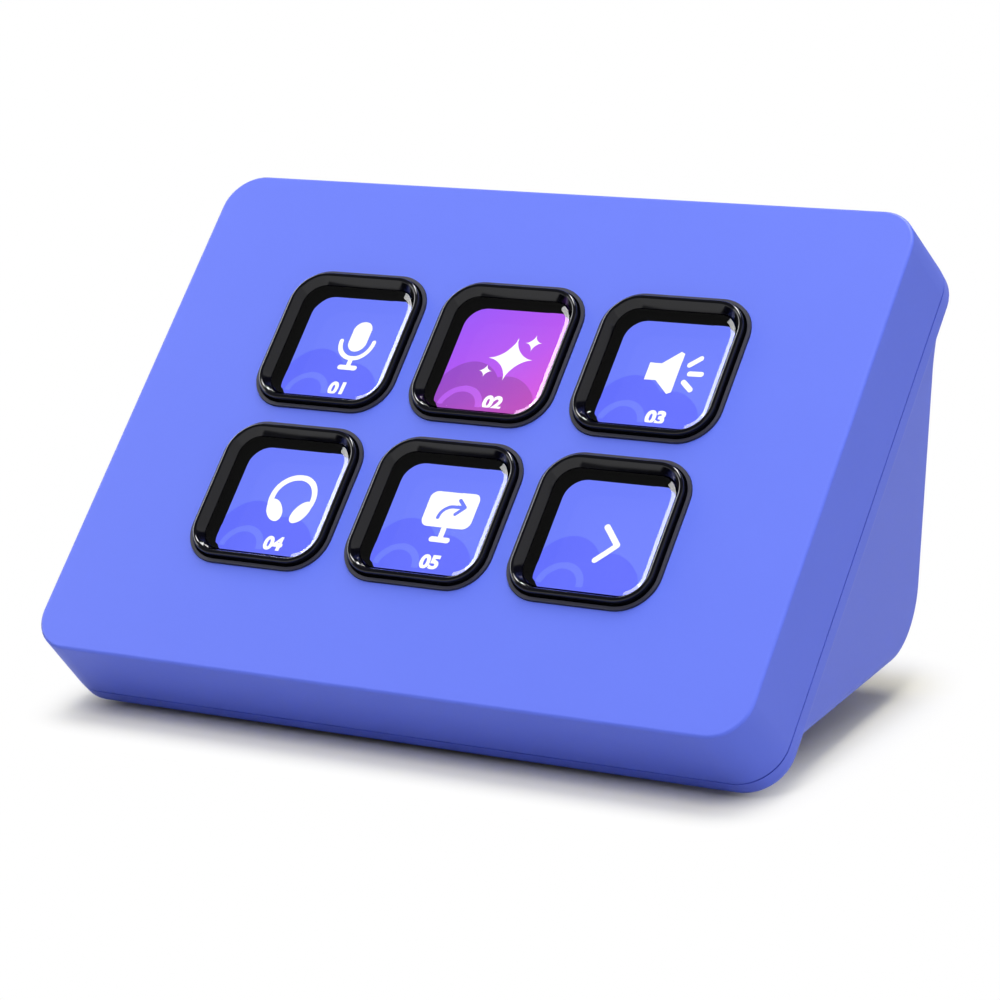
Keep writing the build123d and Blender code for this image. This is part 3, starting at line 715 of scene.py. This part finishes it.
# ---- Settings -----------------------------------------------------------------------
def colour_setting(name, code, description):
    """Colour property whose default comes from an sRGB hex code."""
    return FloatVectorProperty(
        name=name, description=description, default=linear(code),
        subtype="COLOR", size=3, min=0, max=1,
    )


def length_setting(name, default_mm, description):
    """Length property whose default is given in millimetres."""
    return FloatProperty(
        name=name, description=description, default=default_mm * MM,
        min=0, unit="LENGTH", precision=5,
    )


class KEYPAD_PG_finish(PropertyGroup):
    """Colours and grain of the housing, and light of the display."""

    housing: colour_setting("Housing", "#6378F2", "Colour of both shells")
    rims: colour_setting("Key rims", "#08080E", "Colour of the rims of the keys")
    grain: length_setting("Grain", 0.35, "Width of the moulded grain")
    glow: FloatProperty(
        name="Picture glow", description="Brightness of the display", default=1.07, min=0
    )


class KEYPAD_PG_keys(PropertyGroup):
    """Shape of the keys and place of their pictures."""

    crest_round: length_setting("Crest round", 0.28, "Radius of the crest of a rim")
    lip_width: length_setting("Raised edge", 0.6, "Width of the raised edge of a clear block")
    lip_slope: FloatProperty(
        name="Edge slope", description="Slope of the raised edge over the dish",
        default=math.radians(14), min=0, subtype="ANGLE",
    )
    dish_radius: length_setting("Dish radius", 70, "Radius of the dished top of a clear block")
    icon_place: FloatVectorProperty(
        name="Icon place", description="Icon right of and above the middle of its key",
        default=(-0.45 * MM, 1.6 * MM), size=2, subtype="XYZ", unit="LENGTH", precision=5,
    )


class KEYPAD_PG_stage(PropertyGroup):
    """Floor and camera."""

    floor_radius: length_setting("Floor radius", 2500, "Radius of the floor")
    lens: FloatProperty(
        name="Lens", description="Focal length of the camera", default=129.688, min=10, unit="CAMERA",
    )


def dress(node, material):
    """Gives a CAD node one finish."""
    mesh = frame["nodes"][node].data
    mesh.materials.clear()
    mesh.materials.append(material)


# ---- Operators ----------------------------------------------------------------------
class KEYPAD_OT_housing(Operator):
    """Finish both shells, the key frame, the foot and the gland"""

    bl_idname = "keypad.housing"
    bl_label = "Housing"

    def execute(self, context):
        finish = context.scene.keypad_finish
        # Satin ABS: the same violet from every side, with wide soft highlights.
        shell = moulded_plastic(
            "violet_abs_moulded", finish.housing, "#6075EF",
            roughness=0.5, grain_mm=finish.grain / MM, bump=0.25,
        )
        for node in ("front_shell", "rear_shell"):
            dress(node, shell)
        # Black ABS with the same grain: the collars look grey beside the glossy rims.
        black = moulded_plastic(
            "black_abs_moulded", "#3A3A48", "#363644", roughness=0.5, grain_mm=0.3, bump=0.2
        )
        dress("key_frame", black)
        # Rubber: nearly no highlight.
        rubber = moulded_plastic(
            "black_rubber_moulded", "#16161A", "#1C1C20",
            roughness=0.8, grain_mm=0.5, bump=0.5, specular=0.3,
        )
        for node in ("foot_pad", "cable_gland"):
            dress(node, rubber)
        return {"FINISHED"}


class KEYPAD_OT_inner_parts(Operator):
    """Finish the boards, display, chassis and fasteners inside"""

    bl_idname = "keypad.inner_parts"
    bl_label = "Inner parts"

    def execute(self, context):
        # Solder mask over glass fibre laminate: dark green with a slight sheen.
        laminate = moulded_plastic(
            "green_solder_mask", "#0D4526", "#0B3B20", roughness=0.35, grain_mm=0.8, bump=0.2
        )
        for node in ("switch_board", "main_board"):
            dress(node, laminate)
        # Cover glass of the display: near black and sharp in its reflections.
        glass = polished_plastic("dark_display_glass", "#060608", "#08080C", roughness=0.05)
        dress("display_panel", glass)
        # White nylon: bright and matt.
        white = moulded_plastic(
            "white_tray_moulded", "#E6E6E6", "#DCDCDC", roughness=0.5, grain_mm=0.6, bump=0.1
        )
        for node in ("display_backlight", "cable_header", "flex_socket"):
            dress(node, white)
        # Polyimide film: amber and fairly glossy.
        film = moulded_plastic(
            "amber_polyimide_film", "#B87420", "#A96818", roughness=0.3, grain_mm=1.0, bump=0.05
        )
        dress("display_flex", film)
        # Epoxy chip packages: charcoal and matt.
        epoxy = moulded_plastic(
            "black_epoxy_moulded", "#141414", "#181818", roughness=0.5, grain_mm=0.2, bump=0.2
        )
        dress("board_chips", epoxy)
        # Rolled sheet steel, zinc plated: pale, with long streaks.
        zinc = flat_metal(
            "zinc_plated_steel", "#BEC0C4", "#A9ABAF", roughness=0.35, streak_mm=0.8
        )
        dress("chassis", zinc)
        # Bare rolled steel: darker and duller.
        plate = flat_metal(
            "plain_steel_plate", "#7C7C7E", "#6C6C6E", roughness=0.5, streak_mm=1.2
        )
        dress("ballast_plate", plate)
        # Turned brass: warm yellow with fine tool marks.
        brass = flat_metal("turned_brass", "#D8B25C", "#C79F4B", roughness=0.3, streak_mm=0.3)
        dress("standoffs", brass)
        # Plated screws: neutral grey, finely streaked.
        steel = flat_metal(
            "plated_screw_steel", "#A8A8AC", "#98989C", roughness=0.35, streak_mm=0.3
        )
        for node in ("shell_screws", "board_screws", "stand_screws", "base_screws"):
            dress(node, steel)
        return {"FINISHED"}


class KEYPAD_OT_domes(Operator):
    """Make the rubber domes under the keys"""

    bl_idname = "keypad.domes"
    bl_label = "Rubber domes"

    def execute(self, context):
        # Silicone: pale grey and dull.
        silicone = moulded_plastic(
            "grey_silicone_moulded", "#BFBFC6", "#B4B4BC", roughness=0.6, grain_mm=0.5, bump=0.2
        )
        for number in KEYS:
            mesh = dome_mesh(number)
            mesh.materials.append(silicone)
            domes = bpy.data.objects.new(f"domes_{number}", mesh)
            context.scene.collection.objects.link(domes)
            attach(domes, "housing")
            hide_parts(f"key_domes_{number}")

            # Foot of the domes under the middle of the key, in the desk frame.
            low, high = face_box(f"key_domes_{number}")
            foot = on_desk(np.array([*key_middle(number), low[2]]))
            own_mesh(domes)
        return {"FINISHED"}


class KEYPAD_OT_rims(Operator):
    """Build the glossy rims of the keys"""

    bl_idname = "keypad.rims"
    bl_label = "Key rims"

    def execute(self, context):
        crest_round = context.scene.keypad_keys.crest_round / MM
        # Piano-black ABS: deep black, with thin bright lines along its rounded crests.
        colour = context.scene.keypad_finish.rims
        gloss = polished_plastic(
            "piano_black_moulded", colour, "#0A0A14", roughness=0.09, specular=0.36
        )
        for number in KEYS:
            points, faces = rim_surface(key_middle(number), crest_round)
            rim = make_object(
                f"rim_{number}", points, faces, [gloss],
                f"key_{number}", RIM_SMOOTH,
            )
            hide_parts(f"key_rim_{number}")
        return {"FINISHED"}


class KEYPAD_OT_windows(Operator):
    """Build the clear blocks of the keys"""

    bl_idname = "keypad.windows"
    bl_label = "Key windows"

    def execute(self, context):
        keys = context.scene.keypad_keys
        clear = clear_acrylic("clear_acrylic_moulded", "#FFFFFF")
        # Side of the block, painted black and without a sheen, so no light leaks in.
        side = polished_plastic(
            "blackened_block_side", "#010101", "#020202", roughness=0.6, specular=0.0
        )
        for number in KEYS:
            points, faces, finish = window_surface(
                key_middle(number), keys.lip_width / MM, keys.lip_slope, keys.dish_radius / MM
            )
            window = make_object(
                f"window_{number}", points, faces, [clear, side],
                f"key_{number}", WINDOW_SMOOTH, finish,
            )
            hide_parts(f"key_lens_{number}")
        return {"FINISHED"}


class KEYPAD_OT_pictures(Operator):
    """Draw the picture that shows through each key"""

    bl_idname = "keypad.pictures"
    bl_label = "Display pictures"

    def execute(self, context):
        glow = context.scene.keypad_finish.glow
        white_gain = 1.1        # the drawings outshine their ground
        violet_key = 2
        number_size, number_drop = 2.3, 6.5
        blue_inks = [
            lit_picture("lit_white_drawing", "#FFFFFF", "#FFFFFF", "#FFFFFF", white_gain * glow),
            lit_picture("lit_blue_shade", "#6470FF", "#6470FF", "#6470FF", glow),
            lit_picture("lit_blue_pale_shade", "#7282FF", "#7282FF", "#7282FF", glow),
            lit_picture("lit_blue_ground", "#6F7FFF", "#7182FF", "#7384FF", glow),
        ]
        violet_inks = [
            blue_inks[WHITE],
            lit_picture("lit_violet_shade", "#8650D8", "#A54CC8", "#D84CB8", glow),
            lit_picture("lit_violet_pale_shade", "#A860FF", "#C062F0", "#F070E8", glow),
            lit_picture("lit_violet_ground", "#9A5CFF", "#BE58F2", "#F058D0", glow),
        ]
        for number, draw_icon in zip(KEYS, DRAWINGS):
            pen = Drawing()
            draw_ground(pen)
            pen.at = np.array(context.scene.keypad_keys.icon_place) / MM
            pen.use(WHITE, ICON_LAYER)
            draw_icon(pen)
            if number != KEYS[-1]:
                pen.use(WHITE, ICON_LAYER)
                pen.text(f"0{number}", number_size, (0, -number_drop))
            points = np.concatenate(pen.points)
            uv = points[:, :2] / (2 * CARD_HALF) + 0.5
            points[:, :2] += key_middle(number)
            make_object(
                f"picture_{number}", points, pen.faces,
                violet_inks if number == violet_key else blue_inks,
                "housing", WINDOW_SMOOTH, pen.inks, uv,
            )
        return {"FINISHED"}


# ---- Stage --------------------------------------------------------------------------
# Metres and watts, as Blender takes them.
FOOT_HALF = (0.034, 0.0185, 0.0)    # half sizes of the plan of the shell at the floor
FLOOR_GAP = 0.05 * MM               # keeps the floor clear of the rubber foot
FLOOR_SIDES = 96
SHADOW_START = 1 * MM               # where the floor starts to turn into plain white
SHADOW_END = 13 * MM
CARD_FIBRES = 1.11 * MM
LAMP_AIM = (0, 0, 0.03)
# Name, place, length and width, power, shown in glossy pieces, lights matt pieces.
LAMPS = [
    ("overhead_softbox", (0.0, 0.12, 1.1), (0.8, 0.8), 9.4, False, True),
    ("front_softbox", (0.2, -0.7, 1.1), (0.5, 0.5), 7.0, False, True),
    ("right_card", (1.05, -0.1, 0.5), (1.9, 1.1), 4.25, True, True),
    ("left_card", (-1.88, 0.13, 1.0), (2.3, 0.64), 38, True, False),
    ("rear_card", (-1.43, 0.73, 1.32), (0.6, 0.44), 4, True, False),
    ("crown_card", (-0.04, 0.38, 1.06), (0.18, 0.6), 12, True, False),
]
WORLD_STRENGTH = 0.13
SENSOR_WIDTH = 36                   # millimetres
CAMERA_PLACE = (0.188645, -0.305461, 0.113491)
CAMERA_TURN = (1.326129, 0.042929, 0.533025)
CAMERA_SHIFT = (-0.0212, -0.02668)
CAMERA_NEAR = 0.01


def lamp(name, place, size, power, reflected, lights):
    """Soft rectangular lamp aimed at the middle of the keypad, its length level."""
    data = bpy.data.lights.new(name, "AREA")
    data.shape = "RECTANGLE"
    data.size, data.size_y = size
    data.energy = power
    obj = bpy.data.objects.new(name, data)
    obj.location = place
    x, y, z = np.array(LAMP_AIM) - place
    obj.rotation_euler = (math.atan2(math.hypot(x, y), -z), 0, math.atan2(-x, y))
    obj.visible_glossy = reflected
    obj.visible_transmission = reflected
    obj.visible_diffuse = lights
    bpy.context.scene.collection.objects.link(obj)


def floor_material():
    """Matt white card under the object that turns into plain white a little way off, so
    that the floor has no visible end while the object's shadow stays. The way off is the
    distance from the rectangle on which the shell stands. The tint of the card near the
    object balances the violet light that the shell throws on it, and light that bounces
    off the floor comes from a greyer card."""
    material, tree, output = new_material("white_card")
    place = add(tree, "ShaderNodeTexCoord").outputs["Object"]
    size = add(tree, "ShaderNodeVectorMath", {"operation": "ABSOLUTE"}, links={0: place})
    past = add(
        tree, "ShaderNodeVectorMath", {"operation": "SUBTRACT"},
        {1: FOOT_HALF}, {0: size.outputs[0]},
    )
    over = add(
        tree, "ShaderNodeVectorMath", {"operation": "MAXIMUM"},
        {1: (0, 0, 0)}, {0: past.outputs[0]},
    )
    away = add(tree, "ShaderNodeVectorMath", {"operation": "LENGTH"}, links={0: over.outputs[0]})
    fade = add(
        tree, "ShaderNodeMapRange", {"interpolation_type": "SMOOTHSTEP"},
        {"From Min": SHADOW_START, "From Max": SHADOW_END}, {"Value": away.outputs["Value"]},
    )
    rays = add(tree, "ShaderNodeLightPath").outputs
    seen = add(
        tree, "ShaderNodeMath", {"operation": "MAXIMUM"},
        links={0: rays["Is Camera Ray"], 1: rays["Is Glossy Ray"]},
    )
    seen = add(
        tree, "ShaderNodeMath", {"operation": "MAXIMUM"},
        links={0: seen.outputs[0], 1: rays["Is Transmission Ray"]},
    )
    grain = add(tree, "ShaderNodeTexNoise", values={"Scale": 1 / CARD_FIBRES}, links={"Vector": place})
    tint = add(
        tree, "ShaderNodeMix", {"data_type": "RGBA"},
        {MIX_A: rgba("#FFFAE1"), MIX_B: rgba("#FDF8DE")}, {0: grain.outputs["Fac"]},
    )
    edge = add(
        tree, "ShaderNodeMix", {"data_type": "RGBA"}, {MIX_B: rgba("#FDFCF7")},
        {0: fade.outputs["Result"], MIX_A: tint.outputs[MIX_RESULT]},
    )
    tone = add(
        tree, "ShaderNodeMix", {"data_type": "RGBA"}, {MIX_A: rgba("#C6C6C6")},
        {0: seen.outputs[0], MIX_B: edge.outputs[MIX_RESULT]},
    )
    card = add(tree, "ShaderNodeBsdfDiffuse", links={"Color": tone.outputs[MIX_RESULT]})
    white = add(tree, "ShaderNodeEmission", values={"Strength": 1.0})
    share = add(
        tree, "ShaderNodeMath", {"operation": "MULTIPLY"},
        links={0: fade.outputs["Result"], 1: seen.outputs[0]},
    )
    mix = add(
        tree, "ShaderNodeMixShader",
        links={0: share.outputs[0], 1: card.outputs[0], 2: white.outputs[0]},
    )
    close(tree, mix, output)
    return material


def build_floor(context, radius):
    """One flat round face: its radius times evenly spread directions."""
    rim = directions(np.linspace(0, 360, FLOOR_SIDES, endpoint=False)) * radius
    points = np.column_stack([rim, np.full(len(rim), -FLOOR_GAP)])
    mesh = bpy.data.meshes.new("floor")
    mesh.from_pydata(points, [], [list(range(len(points)))])
    mesh.materials.append(floor_material())
    floor = bpy.data.objects.new("floor", mesh)
    context.scene.collection.objects.link(floor)


def build_world(context):
    """Even faint light from all sides."""
    world = bpy.data.worlds.new("studio")
    world.use_nodes = True
    tree = world.node_tree
    tree.nodes.clear()
    sky = add(
        tree, "ShaderNodeBackground",
        values={"Color": rgba("#FFFFFF"), "Strength": WORLD_STRENGTH},
    )
    add(tree, "ShaderNodeOutputWorld", links={"Surface": sky.outputs[0]})
    context.scene.world = world


def build_camera(context, lens):
    """Camera to the right of the keypad, looking down a little."""
    data = bpy.data.cameras.new("camera")
    data.sensor_width = SENSOR_WIDTH
    data.lens = lens
    data.shift_x, data.shift_y = CAMERA_SHIFT
    data.clip_start = CAMERA_NEAR
    camera = bpy.data.objects.new("camera", data)
    camera.location = CAMERA_PLACE
    camera.rotation_euler = CAMERA_TURN
    context.scene.collection.objects.link(camera)
    context.scene.camera = camera


class KEYPAD_OT_stage(Operator):
    """Set the floor, the lamps, the world and the camera"""

    bl_idname = "keypad.stage"
    bl_label = "Stage"

    def execute(self, context):
        stage = context.scene.keypad_stage
        build_floor(context, stage.floor_radius)
        for row in LAMPS:
            lamp(*row)
        build_world(context)
        build_camera(context, stage.lens)
        context.scene.view_settings.view_transform = "Standard"
        return {"FINISHED"}


# ---- Add-on -------------------------------------------------------------------------
GROUPS = {
    "keypad_finish": KEYPAD_PG_finish,
    "keypad_keys": KEYPAD_PG_keys,
    "keypad_stage": KEYPAD_PG_stage,
}
OPERATORS = [
    KEYPAD_OT_housing, KEYPAD_OT_inner_parts, KEYPAD_OT_domes, KEYPAD_OT_rims,
    KEYPAD_OT_windows, KEYPAD_OT_pictures, KEYPAD_OT_stage,
]


class KEYPAD_PT_panel(Panel):
    """Settings and steps of the keypad"""

    bl_idname = "KEYPAD_PT_panel"
    bl_label = "Keypad"
    bl_space_type = "VIEW_3D"
    bl_region_type = "UI"
    bl_category = "Keypad"

    def draw(self, context):
        layout = self.layout
        for group, kind in GROUPS.items():
            for name in kind.__annotations__:
                layout.prop(getattr(context.scene, group), name)
        for operator in OPERATORS:
            layout.operator(operator.bl_idname)


CLASSES = [*GROUPS.values(), *OPERATORS, KEYPAD_PT_panel]


def register():
    """Registers the classes and their settings."""
    for item in CLASSES:
        bpy.utils.register_class(item)
    for group, kind in GROUPS.items():
        setattr(bpy.types.Scene, group, PointerProperty(type=kind))


def unregister():
    """Removes the settings and the classes."""
    for group in GROUPS:
        delattr(bpy.types.Scene, group)
    for item in reversed(CLASSES):
        bpy.utils.unregister_class(item)


def main():
    """Runs every step in order."""
    register()
    for operator in OPERATORS:
        step = operator.bl_idname.split(".")[1]
        getattr(bpy.ops.keypad, step)()


if __name__ == "__main__":
    main()
